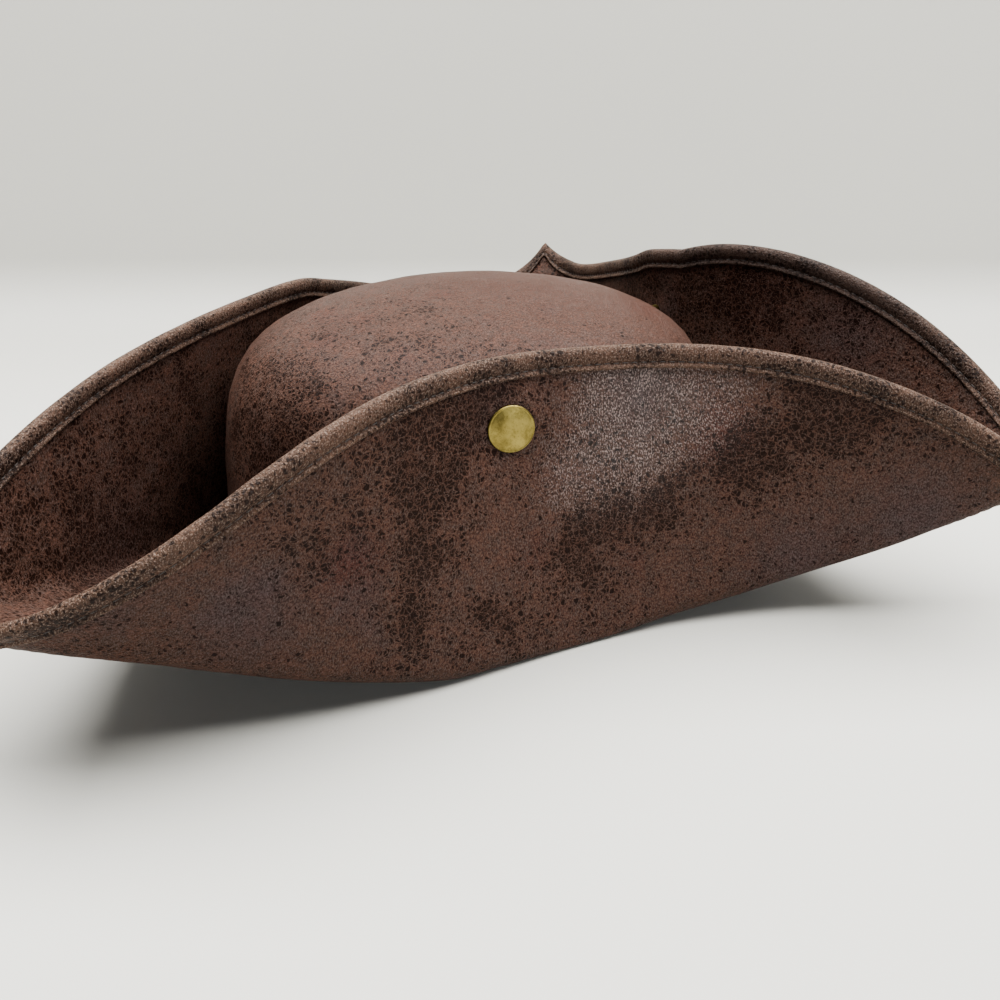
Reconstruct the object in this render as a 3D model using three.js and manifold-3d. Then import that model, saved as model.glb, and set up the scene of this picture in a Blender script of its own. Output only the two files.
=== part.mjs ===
// A three-cornered hat, in millimetres, +Z up.
// Crown and brim are blocked as one sheet of soft imitation leather. The brim is turned up in three
// flaps, each held to the crown by a brass press stud, and a folded strip binds its edge.
// The hat rests on the brim beside the crown. The origin is under the middle of its box.

import * as THREE from 'three';
import { mergeVertices } from 'three/addons/utils/BufferGeometryUtils.js';
import Module from 'manifold-3d';

const wasm = await Module();
wasm.setup();

// Driving sizes of the leather
const crownLength = 192;
const crownWidth = 170;
const crownHeight = 104.5;
const crownTurn = 30; // degrees from +X to the crown's long axis
const crownTaper = 0.07; // share of the radius lost from base to top
const wall = 1.8;
const brimWidth = 108; // from the crown's base to the bound edge
const foldReach = 6.5; // how far the turn of a flap eases into the leather on each side
const crownFillet = 3;

// Driving sizes of the edge strip
const bindingDepth = 7.2;
const bindingThickness = 0.8;
const tipBindingDepth = 13; // at a corner, where both rows of stitches meet

// Driving sizes of the studs
const capRadius = 7.3;
const capHeight = 2.4;
const capRim = 0.9;
const postRadius = 2.2;
const flangeRadius = 4.5;
const flangeThickness = 1.2;
const flangeClearance = 1.1; // to the curved wall that the flat flange lies against
const studSides = 16;
const studDrop = 21.5; // from the flap's edge down to the stud

// Clearance between pieces that touch
const gap = 0.3;

// Each flap faces out from the crown at an angle in degrees. Foot and height are shares of the
// brim's width: the foot is the flat strip on the table, the height is the part turned up.
// Lean is degrees outwards from upright, and twist turns the fold in plan.
const flaps = {
  back: { face: -78.5, foot: 0.093, height: 0.9, lean: -8.5, twist: 22 },
  right: { face: 33, foot: 0.08, height: 0.965, lean: -9.2, twist: -2 },
  left: { face: 152.5, foot: 0.099, height: 0.903, lean: -10, twist: 1 },
};

// Each corner points out at an angle in degrees. Reach, rise and tip are shares of the brim's
// width: how far out and how high the fold ends, and the last curl upwards.
const corners = {
  right: { azimuth: -21.8, reach: 1.04, rise: 0.442, tip: 0.066 },
  front: { azimuth: 77.7, reach: 0.623, rise: 0.736, tip: 0.131 },
  left: { azimuth: -129.9, reach: 1.076, rise: 0.47, tip: 0.013 },
};

// Half a flap, from its middle to a corner, in order round the hat. Bend is how far the fold keeps
// its first direction, fall and ease shape the edge's descent, splay is the lean near the corner in
// degrees, and sag is how early the fold lifts off the table.
const halves = [
  { flap: 'back', corner: 'right', side: 1, bend: 0.5, fall: 2.49, ease: 0.86, splay: 13, sag: 0 },
  { flap: 'right', corner: 'right', side: -1, bend: 0.37, fall: 2.72, ease: 1, splay: 29, sag: 0.31 },
  { flap: 'right', corner: 'front', side: 1, bend: 0.29, fall: 2.09, ease: 1.08, splay: 7, sag: 0 },
  { flap: 'left', corner: 'front', side: -1, bend: 0.43, fall: 2, ease: 1.42, splay: 24, sag: 0 },
  { flap: 'left', corner: 'left', side: 1, bend: 0.37, fall: 2.21, ease: 1.04, splay: 22, sag: 0 },
  { flap: 'back', corner: 'left', side: -1, bend: 0.35, fall: 2.77, ease: 1.6, splay: 50, sag: 0 },
];
const restShare = 0.12; // share of half a fold that lies flat on the table
const riseCurve = 1.85;
const tipCurve = 8;
const tipSplay = 65; // degrees: at its very end a flap opens out into the corner
const tipSplayCurve = 16;

// The crown's wall bends into its top like a superellipse
const crownSquareness = 7.9;
const crownRoundness = 1.63;

// How finely the sheet is divided
const ribsPerHalf = 12;
const cornerCrowding = 1.35; // ribs lie closer together towards a corner
const flatRings = 4;
const turnRings = 4;
const flapRings = 6;
const tipEvenness = 10; // how late the rows leave the fold near a corner's tip
const crownRings = [0.25, 0.5, 0.65, 0.76, 0.85, 0.92, 0.966, 0.992]; // shares of the crown's height
const filletSteps = 2;

const radians = THREE.MathUtils.degToRad;
const up = new THREE.Vector3(0, 0, 1);
const midHeight = wall / 2; // of the sheet's middle where its underside lies on the table

function direction(azimuth) {
  return new THREE.Vector3(Math.cos(azimuth), Math.sin(azimuth), 0);
}

function azimuthOf(point) {
  return Math.atan2(point.y, point.x);
}

function along(from, way, distance) {
  return from.clone().addScaledVector(way, distance);
}

// The crown

function baseRadius(azimuth) {
  const turned = azimuth - radians(crownTurn);
  const a = crownLength / 2;
  const b = crownWidth / 2;
  return a * b / Math.hypot(b * Math.cos(turned), a * Math.sin(turned));
}

function crownRadius(azimuth, share) {
  const shoulder = (1 - share ** crownSquareness) ** (1 / crownRoundness);
  return baseRadius(azimuth) * (1 - crownTaper * share) * shoulder;
}

// The crown's wall starts above its fillet
const crownStart = midHeight + crownFillet;
const crownRise = crownHeight - midHeight - crownStart;

function crownShare(height) {
  return (height - crownStart) / crownRise;
}

function crownPoint(azimuth, share) {
  const height = crownStart + share * crownRise;
  return along(new THREE.Vector3(0, 0, height), direction(azimuth), crownRadius(azimuth, share));
}

// The way down the crown's outside at a point of its wall
function crownFall(azimuth, share) {
  const small = 0.002;
  return crownPoint(azimuth, share - small).sub(crownPoint(azimuth, share + small)).normalize();
}

function crownNormal(azimuth, share) {
  const small = 0.01;
  const round = crownPoint(azimuth + small, share).sub(crownPoint(azimuth - small, share));
  return crownFall(azimuth, share).cross(round).normalize();
}

// From the crown's top down to its wall, then round the fillet to the brim. Each row is a point of
// the sheet's middle and the way the sheet runs there.
function crownSection(azimuth) {
  const rows = [...crownRings].reverse()
    .map((share) => ({ point: crownPoint(azimuth, share), way: crownFall(azimuth, share) }));
  const out = direction(azimuth);
  const centre = along(new THREE.Vector3(0, 0, crownStart), out, baseRadius(azimuth) + crownFillet);
  for (let step = 0; step < filletSteps; step += 1) {
    const angle = (Math.PI / 2) * (step / filletSteps);
    rows.push({
      point: along(along(centre, out, -crownFillet * Math.cos(angle)), up, -crownFillet * Math.sin(angle)),
      way: along(out.clone().multiplyScalar(Math.sin(angle)), up, -Math.cos(angle)),
    });
  }
  return rows;
}

// The brim: a rib runs out from the crown's base to the fold and up the flap to the edge

function liftAt(half, s) {
  const corner = corners[half.corner];
  const lifted = Math.max(0, (s - restShare) / (1 - restShare));
  const share = corner.rise * (2 * lifted * (1 - lifted) * half.sag + lifted ** riseCurve);
  return brimWidth * (share + corner.tip * s ** tipCurve);
}

function ribAt(half, s) {
  const flap = flaps[half.flap];
  const corner = corners[half.corner];
  const face = radians(flap.face);
  const cornerAzimuth = radians(corner.azimuth);
  const foot = direction(face).multiplyScalar(baseRadius(face) + flap.foot * brimWidth);
  const tip = direction(cornerAzimuth)
    .multiplyScalar(baseRadius(cornerAzimuth) + corner.reach * brimWidth);
  const heading = direction(face + Math.PI / 2 + radians(flap.twist)).multiplyScalar(half.side);
  const pull = along(foot, heading, half.bend * foot.distanceTo(tip));
  const foldLine = new THREE.QuadraticBezierCurve3(foot, pull, tip);
  const run = foldLine.getTangent(s);
  const outwards = new THREE.Vector3(run.y, -run.x, 0).multiplyScalar(half.side);
  const fold = along(foldLine.getPoint(s), up, midHeight + liftAt(half, s));
  const base = direction(azimuthOf(fold))
    .multiplyScalar(baseRadius(azimuthOf(fold)) + crownFillet).setZ(midHeight);
  const height = brimWidth * flap.height * Math.max(0, 1 - s ** half.fall) ** half.ease;
  const lean = radians(flap.lean + (half.splay - flap.lean) * s ** 2
    + (tipSplay - half.splay) * s ** tipSplayCurve);
  const rising = along(up.clone().multiplyScalar(Math.cos(lean)), outwards, Math.sin(lean));
  return { base, fold, edge: along(fold, rising, height) };
}

// A rib with its turn rounded, and the point at a distance along it
function measuredRib(half, s) {
  const { base, fold, edge } = ribAt(half, s);
  const flat = base.distanceTo(fold);
  const standing = fold.distanceTo(edge);
  const outwards = fold.clone().sub(base).normalize();
  const rising = standing > 0 ? edge.clone().sub(fold).normalize() : outwards.clone();
  const ease = Math.min(foldReach, 0.6 * flat, 0.95 * standing);
  const turn = new THREE.QuadraticBezierCurve3(along(fold, outwards, -ease), fold,
    along(fold, rising, ease));
  const turnLength = ease > 0 ? turn.getLength() : 0;
  const flatEnd = flat - ease;
  const length = flatEnd + turnLength + standing - ease;
  const turnEnd = flatEnd + turnLength;
  const at = (distance) => {
    if (distance <= flatEnd) return { point: along(base, outwards, distance), way: outwards };
    if (distance >= turnEnd) return { point: along(turn.v2, rising, distance - turnEnd), way: rising };
    const share = (distance - flatEnd) / turnLength;
    return { point: turn.getPointAt(share), way: turn.getTangentAt(share) };
  };
  return { flap: half.flap, s, azimuth: azimuthOf(fold), flatEnd, turnEnd, length, at, edge, rising };
}

function ribsRound() {
  const ribs = [];
  for (const half of halves) {
    for (let step = 0; step < ribsPerHalf; step += 1) {
      const t = (half.side > 0 ? step : ribsPerHalf - step) / ribsPerHalf;
      ribs.push(measuredRib(half, 1 - (1 - t) ** cornerCrowding));
    }
  }
  return ribs;
}

// Normals of a sheet given as a ring of ribs, each a list of rows from the middle outwards
function sheetNormals(grid) {
  const count = grid.length;
  return grid.map((rows, rib) => rows.map(({ way }, row) => {
    const next = grid[(rib + 1) % count][row].point;
    const before = grid[(rib + count - 1) % count][row].point;
    return way.clone().cross(next.clone().sub(before)).normalize();
  }));
}

// A closed mesh from rings of points: each ring is joined to the next, and the last to the first
// unless the mesh ends in a pole at both ends. A square is split along its shorter diagonal.
function ringMesh(rings, poles = null) {
  const vertices = rings.flat();
  const count = rings[0].length;
  const triangles = [];
  const at = (ring, index) => ring * count + (index % count);
  const between = (a, b) => vertices[a].distanceTo(vertices[b]);
  const last = poles ? rings.length - 1 : rings.length;
  for (let ring = 0; ring < last; ring += 1) {
    const next = (ring + 1) % rings.length;
    for (let index = 0; index < count; index += 1) {
      const near = [at(ring, index), at(ring, index + 1)];
      const far = [at(next, index), at(next, index + 1)];
      if (between(near[0], far[1]) < between(near[1], far[0])) {
        triangles.push(near[0], far[0], far[1], near[0], far[1], near[1]);
      } else {
        triangles.push(near[0], far[0], near[1], near[1], far[0], far[1]);
      }
    }
  }
  if (poles) {
    const first = vertices.push(poles[0]) - 1;
    const final = vertices.push(poles[1]) - 1;
    for (let index = 0; index < count; index += 1) {
      triangles.push(first, at(0, index), at(0, index + 1));
      triangles.push(final, at(rings.length - 1, index + 1), at(rings.length - 1, index));
    }
  }
  const geometry = new THREE.BufferGeometry().setFromPoints(vertices);
  geometry.setIndex(triangles);
  return geometry;
}

// Solids that are cut and joined

function toSolid(geometry) {
  const bare = geometry.clone();
  bare.deleteAttribute('normal');
  bare.deleteAttribute('uv');
  const merged = mergeVertices(bare, 1e-4);
  return new wasm.Manifold(new wasm.Mesh({
    numProp: 3,
    vertProperties: new Float32Array(merged.attributes.position.array),
    triVerts: new Uint32Array(merged.index.array),
  }));
}

function toGeometry(solid) {
  const mesh = solid.getMesh();
  const geometry = new THREE.BufferGeometry();
  geometry.setAttribute('position', new THREE.BufferAttribute(mesh.vertProperties, 3));
  geometry.setIndex(new THREE.BufferAttribute(mesh.triVerts, 1));
  return geometry;
}

// The leather: one sheet of even thickness

// Rows follow the fold: some on the flat, some round the turn and the rest up the flap. Close to a
// corner's tip, where the flap ends, they spread out evenly instead. The last rows lie where the
// binding's strip begins, half way up it, and at the sheet's own edge.
function brimDistances(rib, depth) {
  const end = rib.length - depth;
  const turnEnd = Math.min(rib.turnEnd, end);
  const flatEnd = Math.min(rib.flatEnd, turnEnd);
  const spread = (from, to, count) => Array.from({ length: count },
    (_, step) => from + (to - from) * (step + 1) / count);
  const folded = [...spread(0, flatEnd, flatRings), ...spread(flatEnd, turnEnd, turnRings),
    ...spread(turnEnd, end, flapRings)];
  const even = spread(0, end, folded.length);
  const evenness = rib.s ** tipEvenness;
  return [0, ...folded.map((distance, row) => distance + (even[row] - distance) * evenness),
    rib.length - depth / 2, rib.length - bindingThickness - gap];
}

function sheetGrid(ribs, depths) {
  return ribs.map((rib, index) => [
    ...crownSection(rib.azimuth),
    ...brimDistances(rib, depths[index]).map((distance) => rib.at(distance)),
  ]);
}

function offsetRings(grid, normals, offset) {
  return grid[0].map((_, row) => grid.map((rows, rib) => along(rows[row].point, normals[rib][row], offset)));
}

function leatherSheet(grid, normals) {
  const upper = offsetRings(grid, normals, wall / 2);
  const lower = offsetRings(grid, normals, -wall / 2).reverse();
  const top = new THREE.Vector3(0, 0, crownHeight);
  return ringMesh([...upper, ...lower], [top, along(top, up, -wall)]);
}

// The binding: a folded strip over the edge, with a gap to the leather inside it

// Measured along a rib, the strip is deeper where the edge runs at a slant to the rib
function stripDepths(ribs) {
  const count = ribs.length;
  return ribs.map((rib, index) => {
    const edgeRun = ribs[(index + 1) % count].edge.clone().sub(ribs[(index + count - 1) % count].edge);
    const slant = rib.rising.dot(edgeRun.normalize());
    return Math.min(bindingDepth / Math.sqrt(Math.max(1 - slant ** 2, 0.01)), tipBindingDepth);
  });
}

function bindingLoop(ribs, grid, normals) {
  const inside = wall / 2 + gap;
  const outside = inside + bindingThickness;
  const rounding = 0.6 * bindingThickness;
  // Each corner of the strip's section: the sheet's row that it lies over, counted from the edge,
  // or a distance back from the outline, and its offset to the side
  const profile = [
    { row: 3, side: outside },
    { row: 2, side: outside },
    { back: rounding, side: outside },
    { back: 0, side: outside - 2 * rounding },
    { back: 0, side: 2 * rounding - outside },
    { back: rounding, side: -outside },
    { row: 2, side: -outside },
    { row: 3, side: -outside },
    { row: 3, side: -inside },
    { row: 2, side: -inside },
    { back: bindingThickness, side: -inside },
    { back: bindingThickness, side: inside },
    { row: 2, side: inside },
    { row: 3, side: inside },
  ];
  const rings = profile.map(({ row, back, side }) => ribs.map((rib, index) => {
    const over = grid[index].length - (row ?? 1);
    const place = (row ? grid[index][over] : rib.at(rib.length - back)).point;
    return along(place, normals[index][over], side);
  }));
  return ringMesh(rings);
}

// The press studs: a brass cap on the flap, and a plain post that goes through flap and crown

function turned(points) {
  const outline = points.map(([radius, height]) => new THREE.Vector2(radius, height));
  return new THREE.LatheGeometry(outline, studSides);
}

function capGeometry() {
  const domed = [1, 0.8, 0.55, 0.28].map((share) => [
    (capRadius - capRim) * share,
    capRim + (capHeight - capRim) * (1 - share ** 2),
  ]);
  return turned([[0, 0], [capRadius - 0.3 * capRim, 0], [capRadius, 0.5 * capRim],
    [capRadius - 0.3 * capRim, capRim], ...domed, [0, capHeight]]);
}

// Where a flap's stud sits: on the middle of the sheet, the way out of the flap, how far the leather
// under the cap stands up from there, and the spot behind it on the crown's wall
function studSeat(name, ribs) {
  const index = ribs.findIndex((rib) => rib.flap === name && rib.s === 0);
  const near = (side, drop) => {
    const rib = ribs[(index + side + ribs.length) % ribs.length];
    return rib.at(rib.length - studDrop - drop).point;
  };
  const place = near(0, 0);
  const outwards = near(1, 0).sub(near(-1, 0)).cross(ribs[index].rising).normalize();
  const rises = [-1, 1].flatMap((side) => [-capRadius, 0, capRadius].map((drop) => {
    const offset = near(side, drop).sub(place);
    const height = offset.dot(outwards);
    return height * capRadius / along(offset, outwards, -height).length();
  }));
  const crownSpot = place.clone();
  for (let step = 0; step < 4; step += 1) {
    const way = direction(azimuthOf(crownSpot));
    const between = crownSpot.dot(way) - crownRadius(azimuthOf(crownSpot), crownShare(crownSpot.z));
    crownSpot.addScaledVector(outwards, -between / way.dot(outwards));
  }
  const crownWay = crownNormal(azimuthOf(crownSpot), crownShare(crownSpot.z));
  return { place, outwards, lift: Math.max(0, ...rises), crownSpot, crownWay };
}

// Turns a shape made along +Y to point another way, and moves it to its place
function pointed(geometry, way, place) {
  const turn = new THREE.Quaternion().setFromUnitVectors(new THREE.Vector3(0, 1, 0), way);
  return geometry.applyQuaternion(turn).translate(place.x, place.y, place.z);
}

function shank(seat, radius, from, to) {
  const geometry = new THREE.CylinderGeometry(radius, radius, to - from, studSides);
  return toSolid(pointed(geometry.translate(0, (from + to) / 2, 0), seat.outwards, seat.place));
}

// The shank runs from under the cap to a flange that lies flat inside the crown's wall
function postSolid(seat) {
  const inside = wall / 2 + flangeClearance + flangeThickness / 2;
  const flange = new THREE.CylinderGeometry(flangeRadius, flangeRadius, flangeThickness, studSides);
  const flangePlace = along(seat.crownSpot, seat.crownWay, -inside);
  const start = flangePlace.clone().sub(seat.place).dot(seat.outwards);
  return toSolid(pointed(flange, seat.crownWay, flangePlace))
    .add(shank(seat, postRadius, start, wall / 2 + seat.lift));
}

function holeSolid(seat) {
  const depth = seat.place.distanceTo(seat.crownSpot) + 3 * wall;
  return shank(seat, postRadius + gap, -depth, 3 * wall);
}

// The hat

const materials = {
  leather: new THREE.MeshStandardMaterial({ color: 0x5b463c, roughness: 0.55, metalness: 0 }),
  binding: new THREE.MeshStandardMaterial({ color: 0x4c3a32, roughness: 0.5, metalness: 0 }),
  brass: new THREE.MeshStandardMaterial({ color: 0xa8975a, roughness: 0.38, metalness: 1 }),
};

const hat = new THREE.Group();

function addPiece(name, geometry, material) {
  const mesh = new THREE.Mesh(geometry, material);
  mesh.name = name;
  hat.add(mesh);
}

const ribs = ribsRound();
const grid = sheetGrid(ribs, stripDepths(ribs));
const normals = sheetNormals(grid);
const seats = Object.keys(flaps).map((name) => ({ name, ...studSeat(name, ribs) }));
let leather = toSolid(leatherSheet(grid, normals));
for (const seat of seats) leather = leather.subtract(holeSolid(seat));

addPiece('hat_body', toGeometry(leather), materials.leather);
addPiece('brim_binding', bindingLoop(ribs, grid, normals), materials.binding);
for (const seat of seats) {
  const capPlace = along(seat.place, seat.outwards, wall / 2 + seat.lift + gap);
  const cap = pointed(capGeometry(), seat.outwards, capPlace);
  addPiece(`snap_cap_${seat.name}`, cap, materials.brass);
  addPiece(`snap_post_${seat.name}`, toGeometry(postSolid(seat)), materials.brass);
}

// Set the origin under the middle of the box
hat.updateMatrixWorld(true);
const box = new THREE.Box3().setFromObject(hat, true);
const middle = box.getCenter(new THREE.Vector3());
hat.position.set(-middle.x, -middle.y, -box.min.z);

export default hat;
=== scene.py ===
import math

import bmesh
import bpy
from mathutils import Matrix, Vector, noise


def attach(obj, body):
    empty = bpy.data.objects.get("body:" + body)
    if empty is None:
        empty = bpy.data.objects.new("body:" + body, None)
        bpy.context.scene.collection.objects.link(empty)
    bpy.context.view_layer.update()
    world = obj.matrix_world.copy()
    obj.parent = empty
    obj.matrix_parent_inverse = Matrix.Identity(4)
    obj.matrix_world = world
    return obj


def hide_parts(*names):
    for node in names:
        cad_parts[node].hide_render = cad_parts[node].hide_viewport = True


# A three-cornered hat of crackled imitation leather lies on a pale table. Crown and brim are one
# sheet, the brim is turned up in three flaps, and a stitched strip binds its edge.

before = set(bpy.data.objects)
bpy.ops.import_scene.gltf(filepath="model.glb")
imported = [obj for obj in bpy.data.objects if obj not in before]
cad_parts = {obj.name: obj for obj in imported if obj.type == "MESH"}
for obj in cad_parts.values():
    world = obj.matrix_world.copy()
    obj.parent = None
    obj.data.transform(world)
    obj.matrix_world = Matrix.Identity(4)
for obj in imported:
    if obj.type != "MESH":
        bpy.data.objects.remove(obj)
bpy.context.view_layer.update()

MM = 0.001

# Sizes of the leather, in millimetres
CROWN_LENGTH = 192.0
CROWN_WIDTH = 170.0
CROWN_HEIGHT = 104.5
CROWN_TURN = math.radians(30)
CROWN_TAPER = 0.07
CROWN_SQUARENESS = 7.9
CROWN_ROUNDNESS = 1.63
CROWN_CENTRE = Vector((-23.23, 4.14, 0.0))
WALL = 1.8
MID_HEIGHT = WALL / 2
BRIM_WIDTH = 108.0
FOLD_REACH = 6.5
CROWN_FILLET = 3.0
FOLD_SHARE_OF_FLAT = 0.6
FOLD_SHARE_OF_FLAP = 0.95

# Sizes of the edge strip and its stitches
BINDING_DEPTH = 7.2
TIP_BINDING_DEPTH = 13.0
SHEET_EDGE = 1.1
STITCH_PITCH = 3.1
STITCH_LENGTH = 2.3
STITCH_THICKNESS = 0.42
STITCH_DEPTH = 5.5
STITCH_HEIGHT = 1.38
PUCKER = 0.3
PUCKER_REACH = 1.1
PUCKERED_HEIGHT = 1.1
GROOVE_REACH = 0.35
LIP_RIDGE = 6.8
LIP_RIDGE_REACH = 0.4
LIP_UNDERSIDE = 7
LIP_UNDERSIDE_HEIGHT = 1.5
BEND_WEAR_REACH = 1.3

# Sizes of the studs, and of the leather that they hold flat
CAP_RADIUS = 7.3
CAP_HEIGHT = 2.4
CAP_RIM = 0.9
CAP_CLEARANCE = 0.1
POST_RADIUS = 2.2
FLANGE_RADIUS = 4.5
FLANGE_THICKNESS = 1.2
FLANGE_CLEARANCE = 1.1
STUD_DROP = 21.5
STUD_PULL = 0.75
SEAT_RIBS = 4
PRESSED_FROM = 0.9
PRESSED_BEYOND = 8
CALM_REACH = 13

# Angles are in degrees, and lengths are shares of the brim's width. A flap has the way it faces,
# how far out its foot is, its height, how it leans out and how its fold is turned.
FLAPS = {
    "back": dict(face=-78.5, foot=0.093, height=0.9, lean=-8.5, twist=22),
    "right": dict(face=33, foot=0.08, height=0.965, lean=-9.2, twist=-2),
    "left": dict(face=152.5, foot=0.099, height=0.903, lean=-10, twist=1),
}
# A corner has its direction, its reach, and how high the fold rises to it and to its tip
CORNERS = {
    "right": dict(azimuth=-21.8, reach=1.04, rise=0.442, tip=0.066),
    "front": dict(azimuth=77.7, reach=0.623, rise=0.736, tip=0.131),
    "left": dict(azimuth=-129.9, reach=1.076, rise=0.47, tip=0.013),
}
# A half of a flap, out to a corner: the bend and sag of its fold, how its edge falls, and how it
# splays at the corner
HALVES = [
    dict(flap="back", corner="right", side=1, bend=0.5, fall=2.49, ease=0.86, splay=13, sag=0),
    dict(flap="right", corner="right", side=-1, bend=0.37, fall=2.72, ease=1, splay=29, sag=0.31),
    dict(flap="right", corner="front", side=1, bend=0.29, fall=2.09, ease=1.08, splay=7, sag=0),
    dict(flap="left", corner="front", side=-1, bend=0.43, fall=2, ease=1.42, splay=24, sag=0),
    dict(flap="left", corner="left", side=1, bend=0.37, fall=2.21, ease=1.04, splay=22, sag=0),
    dict(flap="back", corner="left", side=-1, bend=0.35, fall=2.77, ease=1.6, splay=50, sag=0),
]
# The right flap's edge stands highest beside its middle, as a share of the flap's height
CREST = dict(flap="right", azimuth=17, width=22, share=0.064)
# The near flap's fold leaves the table early on the left, as a share of the brim's width
EARLY_RISE = dict(flap="back", corner="left", start=0.22, share=0.14)
REST_SHARE = 0.12
RISE_CURVE = 1.85
TIP_CURVE = 8
TIP_SPLAY = 65
TIP_SPLAY_CURVE = 16

# How finely the sheet and the strip are divided
SHEET_RIBS = 44
SHEET_CROWDING = 1.35
STRIP_RIBS = 190
STRIP_CROWDING = 1.0
CROWN_TOP_ROWS = 22
CROWN_TOP_REACH = 0.98
CROWN_WALL_ROWS = 14
FILLET_ROWS = 4
FLAT_ROWS = 6
TURN_ROWS = 9
FLAP_ROWS = 26
TURN_STEPS = 12
TIP_EVENNESS = 10
TURNED_STEPS = 72

UP = Vector((0, 0, 1))


def direction(azimuth):
    return Vector((math.cos(azimuth), math.sin(azimuth), 0))


def azimuth_of(point):
    return math.atan2(point.y, point.x)


def smooth_step(low, high, value):
    share = min(1, max(0, (value - low) / (high - low)))
    return share * share * (3 - 2 * share)


def hill(distance, reach):
    """One at no distance, and falling off round about the reach."""
    return math.exp(-(distance / reach) ** 2)


# The crown

def base_radius(azimuth):
    turned = azimuth - CROWN_TURN
    a = CROWN_LENGTH / 2
    b = CROWN_WIDTH / 2
    return a * b / math.hypot(b * math.cos(turned), a * math.sin(turned))


CROWN_START = MID_HEIGHT + CROWN_FILLET
CROWN_RISE = CROWN_HEIGHT - MID_HEIGHT - CROWN_START


def crown_radius(azimuth, share):
    shoulder = max(0, 1 - max(0, share) ** CROWN_SQUARENESS) ** (1 / CROWN_ROUNDNESS)
    return base_radius(azimuth) * (1 - CROWN_TAPER * share) * shoulder


def crown_point(azimuth, share):
    height = CROWN_START + share * CROWN_RISE
    return direction(azimuth) * crown_radius(azimuth, share) + UP * height


def crown_shares():
    """Heights of the crown's rows, from its top down, as shares of its rise."""
    top = [(1 - (row / CROWN_TOP_ROWS) ** CROWN_ROUNDNESS) ** (1 / CROWN_SQUARENESS)
           for row in range(CROWN_TOP_ROWS)]
    wall_top = (1 - CROWN_TOP_REACH ** CROWN_ROUNDNESS) ** (1 / CROWN_SQUARENESS)
    return top + [wall_top * (1 - row / CROWN_WALL_ROWS) for row in range(CROWN_WALL_ROWS)]


# The brim: a rib runs out from the crown's base to the fold, round the turn and up the flap

def measured(places):
    """How far each of a row of places is from the first, along the row."""
    lengths = [0.0]
    for here, after in zip(places, places[1:]):
        lengths.append(lengths[-1] + (after - here).length)
    return lengths


def curve_point(start, pull, end, t):
    return start * (1 - t) ** 2 + pull * (2 * t * (1 - t)) + end * t ** 2


def curve_way(start, pull, end, t):
    return ((pull - start) * (1 - t) + (end - pull) * t).normalized()


def lift_at(half, s):
    """How high the fold is above the table: it lies on it first, and rises to the corner."""
    corner = CORNERS[half["corner"]]
    lifted = max(0, (s - REST_SHARE) / (1 - REST_SHARE))
    share = corner["rise"] * (2 * lifted * (1 - lifted) * half["sag"] + lifted ** RISE_CURVE)
    return BRIM_WIDTH * (share + corner["tip"] * s ** TIP_CURVE)


def crest_at(half, azimuth):
    if half["flap"] != CREST["flap"]:
        return 0
    return CREST["share"] * hill(math.degrees(azimuth) - CREST["azimuth"], CREST["width"])


def early_rise_at(half, s):
    if (half["flap"], half["corner"]) != (EARLY_RISE["flap"], EARLY_RISE["corner"]):
        return 0
    lifted = max(0, (s - EARLY_RISE["start"]) / (1 - EARLY_RISE["start"]))
    return BRIM_WIDTH * EARLY_RISE["share"] * lifted * (1 - lifted)


class Rib:
    """A section of the brim at a share s of the way from a flap's middle to its corner."""

    def __init__(self, half, s):
        flap = FLAPS[half["flap"]]
        corner = CORNERS[half["corner"]]
        face = math.radians(flap["face"])
        corner_azimuth = math.radians(corner["azimuth"])
        foot = direction(face) * (base_radius(face) + flap["foot"] * BRIM_WIDTH)
        tip = direction(corner_azimuth) * (
            base_radius(corner_azimuth) + corner["reach"] * BRIM_WIDTH)
        heading = direction(face + math.pi / 2 + math.radians(flap["twist"])) * half["side"]
        pull = foot + heading * half["bend"] * (tip - foot).length
        run = curve_way(foot, pull, tip, s)
        outwards = Vector((run.y, -run.x, 0)) * half["side"]
        early = early_rise_at(half, s)
        fold = curve_point(foot, pull, tip, s) + UP * (MID_HEIGHT + lift_at(half, s) + early)
        azimuth = azimuth_of(fold)
        base = direction(azimuth) * (base_radius(azimuth) + CROWN_FILLET) + UP * MID_HEIGHT
        height = BRIM_WIDTH * flap["height"] * max(0, 1 - s ** half["fall"]) ** half["ease"]
        self.crest = height * crest_at(half, azimuth)
        height += self.crest
        lean = math.radians(
            flap["lean"] + (half["splay"] - flap["lean"]) * s ** 2
            + (TIP_SPLAY - half["splay"]) * s ** TIP_SPLAY_CURVE)
        height = max(0, height - early * math.cos(lean))
        rising = UP * math.cos(lean) + outwards * math.sin(lean)
        self.flap = half["flap"]
        self.s = s
        self.azimuth = azimuth
        self.base = base
        self.edge = fold + rising * height
        self.outwards = (fold - base).normalized()
        self.rising = rising if height > 1e-6 else self.outwards
        flat = (fold - base).length
        ease = min(FOLD_REACH, FOLD_SHARE_OF_FLAT * flat, FOLD_SHARE_OF_FLAP * height)
        self.turn = (fold - self.outwards * ease, fold, fold + self.rising * ease)
        steps = [curve_point(*self.turn, step / TURN_STEPS) for step in range(TURN_STEPS + 1)]
        self.flat_end = flat - ease
        self.turn_end = self.flat_end + measured(steps)[-1]
        self.length = self.turn_end + height - ease

    def at(self, distance):
        """The place at a distance out along the rib, and the way the rib runs there."""
        if distance <= self.flat_end:
            return self.base + self.outwards * distance, self.outwards
        if distance >= self.turn_end:
            return self.turn[2] + self.rising * (distance - self.turn_end), self.rising
        t = (distance - self.flat_end) / (self.turn_end - self.flat_end)
        return curve_point(*self.turn, t), curve_way(*self.turn, t)


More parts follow.
